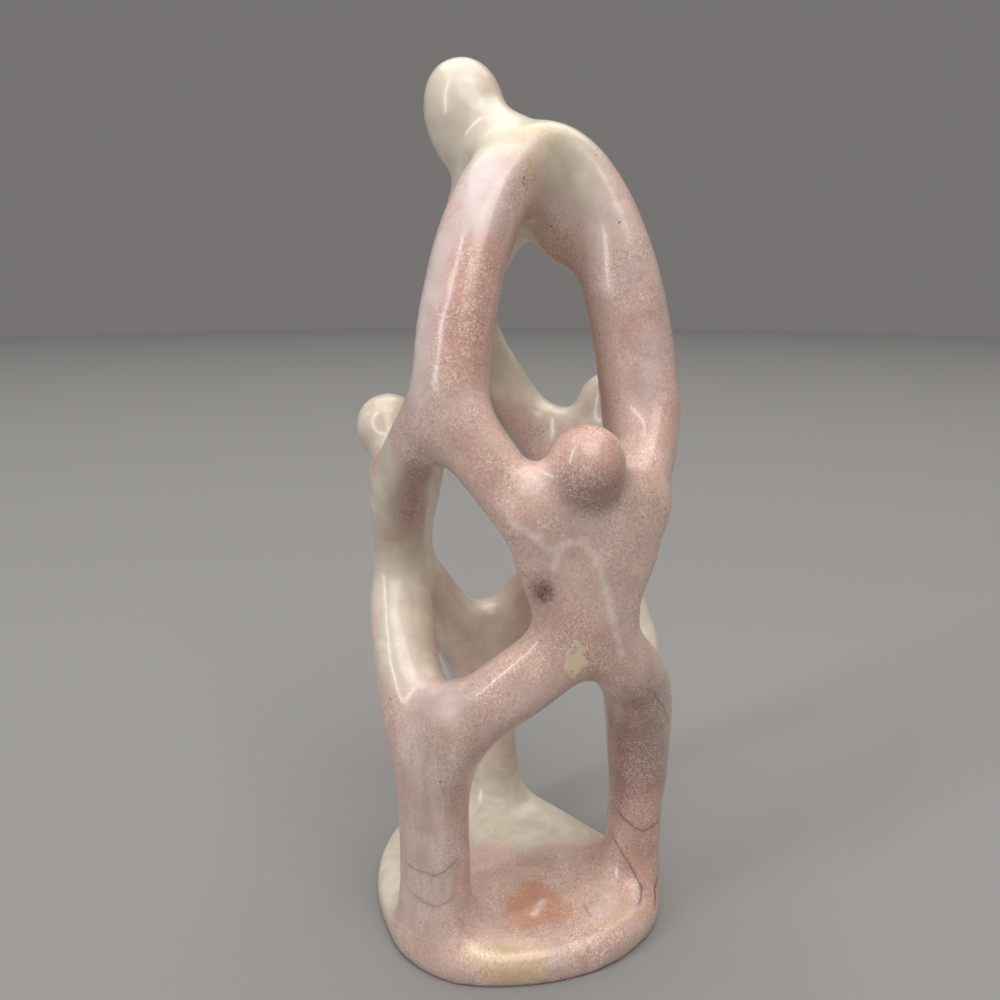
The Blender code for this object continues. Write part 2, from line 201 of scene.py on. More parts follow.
CREAM_ZONES = (
    Zone(Tint.CREAM, spot(-19, 10, 268), spot(-25, 20, 294), 40.0),
    Zone(Tint.CREAM, spot(-14, -8, 272), spot(12, -4, 268), 27.0),
    Zone(Tint.CREAM, spot(10, -14, 262), spot(22, -18, 240), 20.0, 0.55),
    Zone(Tint.CREAM, spot(-11, 43, 200), spot(-2, 12, 256), 34.0),
    Zone(Tint.CREAM, spot(-43, 27, 178), spot(-37, 20, 132), 32.0),
    Zone(Tint.CREAM, spot(-48, 10, 181), spot(-50, -8, 181), 14.0, 0.8),
    Zone(Tint.CREAM, spot(-53, -16, 172), spot(-53, 0, 152), 14.0, 0.8),
    Zone(Tint.CREAM, spot(-42, 4, 125), spot(-47, -14, 108), 25.0),
    Zone(Tint.CREAM, spot(-16, 32, 96), spot(-30, 20, 112), 20.0),
    Zone(Tint.CREAM, spot(42, -8, 112), spot(40, -14, 104), 17.0),
    Zone(Tint.CREAM, spot(8, 36, 194), spot(24, 32, 184), 18.0),
    Zone(Tint.CREAM, spot(-50, -4, 12), spot(-42, 22, 8), 20.0, 0.8),
    Zone(Tint.CREAM, spot(3, 45, 100), spot(4, 42, 10), 34.0),
    Zone(Tint.CREAM, spot(-42, 22, 8), spot(20, 26, 8), 30.0, 0.9),
    Zone(Tint.CREAM, spot(6, 16, 13), spot(22, 12, 13), 26.0, 0.9),
    Zone(Tint.CREAM, spot(41, 18, 182), spot(31, 20, 128), 32.0),
    Zone(Tint.CREAM, spot(34, 22, 118), spot(40, 4, 100), 24.0, 0.8),
    Zone(Tint.CREAM, spot(20, 36, 200), spot(-20, 40, 200), 26.0),
)
ROSE_ZONES = (
    Zone(Tint.ROSE, spot(0, -54, 184), spot(0, -53, 176), 20.0),
    Zone(Tint.ROSE, spot(-29, -32, 240), spot(-34, -38, 212), 19.0, 1.0),
    Zone(Tint.ROSE, spot(-36, -40, 205), spot(-38, -42, 190), 15.0, 0.3),
    Zone(Tint.ROSE, spot(27, -34, 216), spot(33, -36, 196), 19.0, 0.45),
    Zone(Tint.ROSE, spot(33, -38, 187), spot(30, -42, 180), 15.0, 0.55),
    Zone(Tint.ROSE, spot(-34, -46, 180), spot(-20, -54, 158), 15.0, 0.5),
    Zone(Tint.ROSE, spot(-10, -55, 130), spot(6, -56, 112), 17.0, 0.65),
    Zone(Tint.ROSE, spot(38, -34, 48), spot(40, -33, 18), 22.0, 0.75),
    Zone(Tint.ROSE, spot(-34, -40, 30), spot(-36, -42, 10), 13.0, 0.6),
    Zone(Tint.ROSE, spot(-10, -38, 12), spot(14, -44, 8), 26.0, 0.5),
    Zone(Tint.ROSE, spot(20, -20, 12), spot(-2, -8, 12), 16.0, 0.4),
)
# Mauve: the stone's own dusky tint at the hip, the front-right foot, the left arm's top and the
# dark spot, and painted shade everywhere else, as marked below.
MAUVE_AND_SHADE_ZONES = (
    # Painted shade: the front-right post and its knee, shaded by the legs' arch.
    Zone(Tint.MAUVE_AND_SHADE, spot(24, -46, 96), spot(36, -36, 54), 22.0, 0.85),
    Zone(Tint.MAUVE_AND_SHADE, spot(26, -24, 44), spot(24, -34, 80), 14.0, 0.95),
    # Painted shade: the left child's arm and its front below the joined hands, which face down.
    Zone(Tint.MAUVE_AND_SHADE, spot(-43, -30, 176), spot(-44, -22, 170), 14.0, 0.45),
    Zone(Tint.MAUVE_AND_SHADE, spot(-45, -18, 168), spot(-44, -6, 152), 14.0, 0.8),
    # Painted shade: the underside of the front child's head.
    Zone(Tint.MAUVE_AND_SHADE, spot(-7, -61, 170), spot(6, -61, 169), 13.0, 1.0),
    Zone(Tint.MAUVE_AND_SHADE, spot(-5, -62, 171), spot(5, -62, 169), 9.0, 0.8),
    # Painted shadow: cast by the figures across the middle of the base.
    Zone(Tint.MAUVE_AND_SHADE, spot(0, -5, 13), spot(9, -6, 13), 7.0, 0.35),
    Zone(Tint.MAUVE_AND_SHADE, spot(-6, -56, 124), spot(6, -56, 118), 13.0, 0.45),
    Zone(Tint.MAUVE_AND_SHADE, spot(32, -34, 26), spot(30, -30, 18), 13.0, 0.65),
    # Painted shade: the front-right post's inner side under the legs' arch.
    Zone(Tint.MAUVE_AND_SHADE, spot(24, -35, 78), spot(26, -30, 60), 10.0, 0.8),
    # Painted shade: the inner face of the right arm.
    Zone(Tint.MAUVE_AND_SHADE, spot(22, -28, 238), spot(30, -34, 208), 16.0, 0.4),
    Zone(Tint.MAUVE_AND_SHADE, spot(-22, -24, 256), spot(-28, -30, 244), 14.0, 0.35),
    Zone(Tint.MAUVE_AND_SHADE, spot(-14, -52, 139), spot(-14, -55, 139), 6.0, 0.5),
)
GREY_AND_SHADE_ZONES = (
    Zone(Tint.GREY_AND_SHADE, spot(-46, -34, 80), spot(-46, -34, 20), 24.0, 0.9),
    # Painted shade: the underside of the arch beside the right arm.
    Zone(Tint.GREY_AND_SHADE, spot(14, -20, 250), spot(20, -26, 232), 18.0, 0.6),
)
LILAC_AND_SHEEN_ZONES = (
    # Pale lilac with painted sheen: the top and left edge of the left arm and the right arm's lower
    # front.
    Zone(Tint.MIST, spot(-20, -18, 262), spot(-26, -26, 246), 15.0, 0.75),
    Zone(Tint.MIST, spot(-37, -24, 240), spot(-44, -29, 196), 12.0, 0.8),
    Zone(Tint.MIST, spot(31, -34, 210), spot(27, -36, 192), 13.0, 0.5),
    # Painted light: the front child's chest made lighter.
    Zone(Tint.MIST, spot(-6, -57, 163), spot(6, -57, 158), 12.0, 0.3),
    Zone(Tint.MIST, spot(-44, -42, 54), spot(-44, -42, 24), 12.0, 0.55),
    Zone(Tint.MIST, spot(-44, -26, 104), spot(-38, -38, 99), 15.0, 0.75),
)
OCHRE_ZONES = (
    Zone(Tint.OCHRE, spot(-9, -13, 272), spot(2, -14, 272), 11.0, 0.55),
    Zone(Tint.OCHRE, spot(-6, -21, 261), spot(-5, -21, 259), 4.5, 0.9),
    Zone(Tint.OCHRE, spot(-33, -43, 10), spot(-15, -50, 10), 9.0, 0.85),
    Zone(Tint.OCHRE, spot(-28, -50, 5), spot(-17, -53, 4), 8.0, 0.85),
    Zone(Tint.OCHRE, spot(12, -48, 11), spot(24, -42, 11), 6.0, 0.55),
    Zone(Tint.OCHRE, spot(-45, 18, 184), spot(-44, 18, 186), 9.0, 0.4),
    Zone(Tint.OCHRE, spot(-3, -56, 146), spot(1, -56, 122), 12.0, 0.28),
)
ORANGE_ZONES = (
    chain(Tint.ORANGE, (spot(-12, -27, 13), spot(-4, -24, 13), spot(-2, -34, 13),
                        spot(-12, -36, 13)), 10.0, 1.0)
    + (Zone(Tint.ORANGE, spot(-4, -17, 13), spot(2, -16, 13), 7.0, 0.5),
       Zone(Tint.ORANGE, spot(-16, -32, 13), spot(18, -36, 13), 22.0, 0.2),
       Zone(Tint.ORANGE, spot(-32, -48, 180), spot(-14, -54, 164), 15.0, 0.28),
       Zone(Tint.ORANGE, spot(0, -54, 184), spot(0, -56, 178), 16.0, 0.25),
       Zone(Tint.ORANGE, spot(-14, -54, 130), spot(-28, -48, 104), 14.0, 0.2))
)
PALE_ZONES = (
    chain(Tint.PALE, (spot(-27, -53, 162), spot(-18, -56, 157), spot(-13, -56, 152)), 2.7, 0.6)
    + chain(Tint.PALE, (spot(-12, -56, 147), spot(-10, -56, 154), spot(-3, -56, 154),
                        spot(2, -56, 148), spot(5, -56, 138), spot(8, -56, 128),
                        spot(12, -55, 114)), 2.8, 0.72)
    + (Zone(Tint.PALE, spot(-46, 0, 124), spot(-46, -20, 100), 7.0, 0.6),
       Zone(Tint.PALE, spot(10, -42, 12), spot(18, -38, 12), 10.0, 0.6),
       Zone(Tint.PALE, spot(-8.5, -34.3, 13), spot(-3.0, -28.6, 13), 3.0, 0.75))
)
VEINS = (
    Vein(spot(27.3, -27.9, 40.6), spot(32.9, -33.0, 35.5), spot(41.7, -31.3, 39.5)),
    Vein(spot(26.2, -24.2, 30.5), spot(31.6, -37.0, 14.0), spot(45.0, -27.2, 15.6)),
    Vein(spot(-48.8, -28.5, 36.9), spot(-45.9, -32.9, 37.2), spot(-38.7, -36.8, 41.0), 0.24, 0.6,
         1.6),
    Vein(spot(-50.3, -25.6, 27.2), spot(-45.5, -33.4, 25.8), spot(-40.4, -35.9, 28.6), 0.22, 0.45),
    Vein(spot(24.6, -50.7, 99.7), spot(33.0, -45.0, 90.0), spot(40.1, -37.9, 78.5), 0.24, 0.5),
    Vein(spot(10.6, -35.4, 12.8), spot(9.3, -42.4, 12.8), spot(10.2, -39.0, 10.0), 0.30, 0.6, 1.1),
)
PITS = (
    spot(-21.0, 10.0, 267.5), spot(-8.6, -17.5, 266.5), spot(10.4, -18.3, 262.4),
    spot(6.0, -17.0, 257.5), spot(18.6, -19.4, 258.0), spot(14.3, -24.4, 231.0),
    spot(-9.0, -22.3, 258.2), spot(-9.5, -22.7, 256.9),
)
BRUISE = Patch(spot(-15.0, -55.0, 139.4), (2.5, 5.0, 3.3), 0.70, 0.30, 0.96)
BRUISE_HALO = Patch(spot(-14.9, -55.0, 139.2), (4.8, 8.0, 5.8), 0.75, 0.25, 0.42)


@dataclass
class Chip:
    """A shallow flake lost from the front child's belly, unpolished inside."""

    centre: Vector = field(default_factory=lambda: spot(-4.0, -56.0, 116.3))
    half_width: float = 3.3 * MM
    half_height: float = 5.0 * MM
    lean: float = math.radians(14.0)
    depth: float = 0.28 * MM
    wall: float = 2.5                # how steeply the edge drops to the bed
    into: float = 6.0                # how far its tone reaches into the stone, in millimetres
    soft: float = 0.08               # the edge of its tone, as a patch has it
    rag: float = 0.42
    teeth: float = 480.0

    def sink(self, places: np.ndarray) -> None:
        """Press the flake's bed into the skin.

        Args:
            places: the skin's points, one in each row, which are moved.
        """
        offset = places - np.array(self.centre)
        across = offset[:, 0] * math.cos(self.lean) - offset[:, 2] * math.sin(self.lean)
        along = offset[:, 0] * math.sin(self.lean) + offset[:, 2] * math.cos(self.lean)
        away = np.hypot(across / self.half_width, along / self.half_height)
        bed = self.depth * np.clip(self.wall * (1.0 - away), 0.0, 1.0)
        places[:, 1] += np.where(offset[:, 1] < self.half_height, bed, 0.0)

    def patch(self) -> Patch:
        """Find where the bare stone shows.

        Returns:
            The patch over the flake's bed.
        """
        size = (self.half_width / MM, self.into, self.half_height / MM)
        return Patch(self.centre, size, self.soft, self.rag, 1.0, self.teeth)


class Recipe:
    """A material's node tree, written in short calls."""

    def __init__(self, name: str) -> None:
        """Start a material.

        Args:
            name: the material's name.
        """
        self.material = bpy.data.materials.new(name)
        self.material.use_nodes = True
        self.tree = self.material.node_tree
        self.shader = self.tree.nodes["Principled BSDF"]
        self.place = self.node("ShaderNodeTexCoord").outputs["Object"]

    def node(self, kind: str, **settings: object) -> bpy.types.Node:
        """Add a node.

        Args:
            kind: the node's type.
            settings: its properties.

        Returns:
            The new node.
        """
        made = self.tree.nodes.new(kind)
        for name, value in settings.items():
            setattr(made, name, value)
        return made

    def feed(self, socket: bpy.types.NodeSocket, value: object) -> None:
        """Link a socket to an output, or set it to a plain value.

        Args:
            socket: the input to fill.
            value: an output or a plain value.
        """
        if isinstance(value, bpy.types.NodeSocket):
            self.tree.links.new(value, socket)
        else:
            socket.default_value = value

    def sum(self, operation: str, first: object, second: object = 0.0) -> bpy.types.NodeSocket:
        """Work out a number.

        Args:
            operation: a Math node's operation.
            first: a number or an output.
            second: a number or an output.

        Returns:
            The result's output.
        """
        made = self.node("ShaderNodeMath", operation=operation)
        self.feed(made.inputs[0], first)
        self.feed(made.inputs[1], second)
        return made.outputs[0]

    def turn(self, operation: str, first: object, second: object = (0.0, 0.0, 0.0),
             result: str = "Vector") -> bpy.types.NodeSocket:
        """Work out a vector.

        Args:
            operation: a Vector Math node's operation.
            first: a vector or an output.
            second: a vector or an output.
            result: Vector, or Value for a length.

        Returns:
            The result's output.
        """
        made = self.node("ShaderNodeVectorMath", operation=operation)
        self.feed(made.inputs[0], first)
        self.feed(made.inputs[1], second)
        return made.outputs[result]

    def span(self, value: object, low: float, high: float, start: float = 0.0,
             end: float = 1.0) -> bpy.types.NodeSocket:
        """Carry a range over to another, smoothly and without passing its ends.

        Args:
            value: the number to carry over.
            low: where the range starts.
            high: where it ends.
            start: the result at low.
            end: the result at high.

        Returns:
            The result's output.
        """
        made = self.node("ShaderNodeMapRange", interpolation_type="SMOOTHSTEP")
        for name, given in (("Value", value), ("From Min", low), ("From Max", high),
                            ("To Min", start), ("To Max", end)):
            self.feed(made.inputs[name], given)
        return made.outputs["Result"]

    def grain(self, scale: float, detail: float = 3.0, distortion: float = 0.0,
              vector: object = None) -> bpy.types.NodeSocket:
        """Make noise from 0 to 1.

        Args:
            scale: cells in a metre.
            detail: how much finer noise it carries.
            distortion: how far it curls.
            vector: where it is read, or None for the place on the stone.

        Returns:
            The noise's output.
        """
        made = self.node("ShaderNodeTexNoise")
        for name, value in (("Vector", self.place if vector is None else vector),
                            ("Scale", scale), ("Detail", detail), ("Distortion", distortion)):
            self.feed(made.inputs[name], value)
        return made.outputs["Fac"]

    def noise(self, noise: Noise, vector: object = None) -> bpy.types.NodeSocket:
        """Make a noise and carry it over to its result.

        Args:
            noise: the noise.
            vector: where it is read, or None for the place on the stone.

        Returns:
            The result's output.
        """
        made = self.grain(noise.cells, noise.detail, noise.curl, vector)
        return self.span(made, *noise.band, *noise.result)

    def threads(self, noise: Noise) -> bpy.types.NodeSocket:
        """Make curled threads along the lines where a noise is at its middle value.

        Args:
            noise: the noise; its band counts from that middle.

        Returns:
            The result's output.
        """
        made = self.grain(noise.cells, noise.detail, noise.curl)
        away = self.sum("ABSOLUTE", self.sum("SUBTRACT", made, 0.5))
        return self.span(away, *noise.band, *noise.result)

    def patch(self, patch: Patch) -> bpy.types.NodeSocket:
        """Find where a patch shows.

        Args:
            patch: the patch.

        Returns:
            An output that is the patch's strength in its middle and 0 outside.
        """
        offset = self.turn("SUBTRACT", self.place, patch.centre)
        offset = self.turn("DIVIDE", offset, tuple(s * MM for s in patch.size))
        away = self.turn("LENGTH", offset, result="Value")
        ragged = Noise(patch.teeth, 3.0, 0.4, (0.3, 0.7), (-patch.rag, patch.rag))
        away = self.sum("ADD", away, self.noise(ragged))
        inside = self.span(away, 1.0 - patch.soft, 1.0 + patch.soft, 1.0, 0.0)
        return self.sum("MULTIPLY", inside, patch.strength)

    def stretched(self, scale: tuple) -> bpy.types.NodeSocket:
        """Stretch the place on the stone.

        Args:
            scale: the scale on each axis.

        Returns:
            The stretched place's output.
        """
        made = self.node("ShaderNodeMapping")
        self.feed(made.inputs["Vector"], self.place)
        made.inputs["Scale"].default_value = scale
        return made.outputs["Vector"]

    def painted(self, tint: Tint) -> bpy.types.NodeSocket:
        """Read a tint's share from the mesh.

        Args:
            tint: the tint to read.

        Returns:
            The share's output.
        """
        return self.node("ShaderNodeAttribute", attribute_name=tint.value).outputs["Fac"]

    def blend(self, share: object, first: object, second: object) -> bpy.types.NodeSocket:
        """Mix two colours.

        Args:
            share: how much of the second.
            first: a colour or an output.
            second: a colour or an output.

        Returns:
            The colour's output.
        """
        made = self.node("ShaderNodeMix", data_type="RGBA", blend_type="MIX")
        self.feed(made.inputs["Factor"], share)
        self.feed(made.inputs[6], first)
        self.feed(made.inputs[7], second)
        return made.outputs[2]

    def scaled(self, colour: object, by: object) -> bpy.types.NodeSocket:
        """Make a colour darker or lighter.

        Args:
            colour: a colour or an output.
            by: what it is multiplied by.

        Returns:
            The colour's output.
        """
        made = self.node("ShaderNodeVectorMath", operation="SCALE")
        self.feed(made.inputs[0], colour)
        self.feed(made.inputs["Scale"], by)
        return made.outputs["Vector"]


@dataclass(frozen=True)
class Speckle:
    """Fine pale flecks, darker grains and warm clouds over the pink stone, faint on the cream."""

    fleck: tuple = (0.840, 0.670, 0.575, 1.0)
    iron: tuple = (0.400, 0.235, 0.185, 1.0)
    warmth: tuple = (0.550, 0.275, 0.175, 1.0)
    still: tuple = (Tint.CREAM, Tint.MIST, Tint.PALE)    # tints that quieten the speckle
    dimmed: tuple = (Tint.GREY_AND_SHADE, Tint.ORANGE)             # tints that do so in part
    dimming: float = 0.5
    calm: tuple = (0.1, 0.8)         # share of those tints where the speckle fades, and is least
    pink: tuple = (1.0, 0.10)        # the speckle's strength at each of the two
    patches: Noise = Noise(70.0, 3.0, 0.0, (0.38, 0.64), (0.42, 1.0))
    warm: Noise = Noise(38.0, 4.0, 1.2, (0.50, 0.68), (0.0, 0.38))
    grains: Noise = Noise(900.0, 3.0, 0.8, (0.47, 0.62), (0.0, 0.55))
    worms: Noise = Noise(1300.0, 1.5, 1.0, (0.015, 0.065), (1.0, 0.0))
    crumbs: Noise = Noise(2400.0, 1.0, 0.0, (0.54, 0.64), (0.0, 0.9))
    broken: Noise = Noise(1100.0, 2.0, 0.0, (0.40, 0.58), (0.15, 0.95))
    shade: Noise = Noise(130.0, 4.0, 0.5, (0.3, 0.7), (0.92, 1.06))

    def strength(self, recipe: Recipe) -> bpy.types.NodeSocket:
        """How strong the speckle is, by the tint of the stone.

        Args:
            recipe: the material being written.

        Returns:
            The share's output.
        """
        calm = recipe.painted(self.still[0])
        for tint in self.still[1:]:
            calm = recipe.sum("MAXIMUM", calm, recipe.painted(tint))
        for tint in self.dimmed:
            part = recipe.sum("MULTIPLY", recipe.painted(tint), self.dimming)
            calm = recipe.sum("MAXIMUM", calm, part)
        return recipe.span(calm, *self.calm, *self.pink)

    def laid(self, recipe: Recipe, colour: bpy.types.NodeSocket) -> bpy.types.NodeSocket:
        """Lay the speckle over the stone.

        Args:
            recipe: the material being written.
            colour: the tinted colour.

        Returns:
            The colour's output.
        """
        pink = self.strength(recipe)
        dense = recipe.sum("MULTIPLY", pink, recipe.noise(self.patches))
        warm = recipe.sum("MULTIPLY", recipe.noise(self.warm), pink)
        colour = recipe.blend(warm, colour, self.warmth)
        grains = recipe.sum("MULTIPLY", recipe.noise(self.grains), dense)
        colour = recipe.blend(grains, colour, self.iron)
        flecks = recipe.sum("MAXIMUM", recipe.threads(self.worms), recipe.noise(self.crumbs))
        flecks = recipe.sum("MULTIPLY", flecks, recipe.noise(self.broken))
        colour = recipe.blend(recipe.sum("MULTIPLY", flecks, dense), colour, self.fleck)
        return recipe.scaled(colour, recipe.noise(self.shade))


@dataclass(frozen=True)
class Hairlines:
    """The dark hairlines: each a core in a faint halo, wandering off its sheet."""

    tone: tuple = (0.150, 0.070, 0.070, 1.0)
    core: float = 0.25               # share of the width that is darkest
    halo: float = 5.0                # the halo's width, in widths of the line
    halo_strength: float = 0.3       # its strength, as a share of the line's
    fade: float = 0.75               # share of the reach where the line starts to fade
    wander: float = 1.6 * MM         # how far the noise below can shift a line
    wander_cells: float = 210.0      # its cells in a metre
    wander_detail: float = 3.0

    def bent(self, recipe: Recipe) -> bpy.types.NodeSocket:
        """The place on the stone, shifted by the lines' wandering.

        Args:
            recipe: the material being written.

        Returns:
            The place's output.
        """
        noise = recipe.node("ShaderNodeTexNoise")
        recipe.feed(noise.inputs["Vector"], recipe.place)
        recipe.feed(noise.inputs["Scale"], self.wander_cells)
        recipe.feed(noise.inputs["Detail"], self.wander_detail)
        shift = recipe.turn("MULTIPLY", noise.outputs["Color"], (self.wander,) * 3)
        return recipe.turn("ADD", recipe.place, shift)

    def drawn(self, recipe: Recipe, colour: bpy.types.NodeSocket) -> bpy.types.NodeSocket:
        """Draw every hairline.

        Args:
            recipe: the material being written.
            colour: the colour under them.

        Returns:
            The colour's output.
        """
        bent = self.bent(recipe)
        usual_shift = Vector((self.wander / 2.0,) * 3)
        for vein in VEINS:
            width, reach = vein.width * MM, vein.reach()
            level = vein.normal().dot(vein.middle() + usual_shift)
            height = recipe.turn("DOT_PRODUCT", bent, vein.normal(), "Value")
            height = recipe.sum("ABSOLUTE", recipe.sum("SUBTRACT", height, level))
            line = recipe.span(height, self.core * width, width, vein.strength, 0.0)
            halo = recipe.span(height, 0.0, self.halo * width,
                               self.halo_strength * vein.strength, 0.0)
            line = recipe.sum("MAXIMUM", line, halo)
            away = recipe.turn("DISTANCE", recipe.place, vein.middle(), "Value")
            near = recipe.span(away, self.fade * reach, reach, 1.0, 0.0)
            colour = recipe.blend(recipe.sum("MULTIPLY", line, near), colour, self.tone)
        return colour


@dataclass(frozen=True)
class Pitting:
    """Open pits: a few larger ones at set places, and specks scattered all over."""

    tone: tuple = (0.110, 0.075, 0.060, 1.0)
    strength: float = 0.75           # the tone's share in a pit
    edge: Noise = Noise(1500.0, 2.0, 0.0, (0.3, 0.7), (-0.35 * MM, 0.45 * MM))
    bottom: float = 0.30 * MM        # radius of a larger pit's bottom
    rim: float = 0.75 * MM           # radius of its rim
    speck_cells: float = 170.0       # cells in a metre, some of which hold a speck
    speck_bottom: float = 0.04       # radius of a speck's bottom, in cells
    speck_rim: float = 0.085         # radius of its rim, in cells
    empty: float = 0.72              # share of the cells that hold none

    def nearest(self, recipe: Recipe) -> bpy.types.NodeSocket:
        """The distance to the nearest of the larger pits.

        Args:
            recipe: the material being written.

        Returns:
            The distance's output.
        """
        nearest = recipe.turn("DISTANCE", recipe.place, PITS[0], "Value")
        for pit in PITS[1:]:
            away = recipe.turn("DISTANCE", recipe.place, pit, "Value")
            nearest = recipe.sum("MINIMUM", nearest, away)
        return nearest

    def mask(self, recipe: Recipe) -> bpy.types.NodeSocket:
        """Where the stone is pitted.

        Args:
            recipe: the material being written.

        Returns:
            An output that is 1 in a pit and 0 elsewhere.
        """
        away = recipe.sum("ADD", self.nearest(recipe), recipe.noise(self.edge))
        large = recipe.span(away, self.bottom, self.rim, 1.0, 0.0)
        specks = recipe.node("ShaderNodeTexVoronoi")
        recipe.feed(specks.inputs["Vector"], recipe.place)
        recipe.feed(specks.inputs["Scale"], self.speck_cells)
        small = recipe.span(specks.outputs["Distance"], self.speck_bottom, self.speck_rim,
                            1.0, 0.0)
        lot = recipe.node("ShaderNodeSeparateColor")
        recipe.feed(lot.inputs["Color"], specks.outputs["Color"])
        chosen = recipe.sum("GREATER_THAN", lot.outputs[0], self.empty)
        return recipe.sum("MAXIMUM", large, recipe.sum("MULTIPLY", small, chosen))


@dataclass(frozen=True)
class Relief:
    """The finest relief: rasp marks along the height, soft waves and the pits' depth."""

    rasp_cells: tuple = (1300.0, 1300.0, 110.0)      # cells in a metre along x, y and z
    wave_cells: float = 150.0
    detail: float = 2.0              # how much finer noise the marks and the waves carry
    rasp_height: float = 0.018       # heights are shares of the distance
    wave_height: float = 0.16
    pit_depth: float = 0.35
    distance: float = 0.8 * MM
    strength: float = 0.5

    def normal(self, recipe: Recipe, pits: bpy.types.NodeSocket) -> bpy.types.NodeSocket:
        """The skin's direction with the relief on it.

        Args:
            recipe: the material being written.
            pits: where the stone is pitted.

        Returns:
            The direction's output.
        """
        rasped = recipe.grain(1.0, self.detail, 0.0, recipe.stretched(self.rasp_cells))
        waves = recipe.grain(self.wave_cells, self.detail)
        height = recipe.sum("ADD", recipe.sum("MULTIPLY", rasped, self.rasp_height),
                            recipe.sum("MULTIPLY", waves, self.wave_height))
        height = recipe.sum("SUBTRACT", height, recipe.sum("MULTIPLY", pits, self.pit_depth))
        bump = recipe.node("ShaderNodeBump")
        recipe.feed(bump.inputs["Strength"], self.strength)
        recipe.feed(bump.inputs["Distance"], self.distance)
        recipe.feed(bump.inputs["Height"], height)
        return bump.outputs["Normal"]


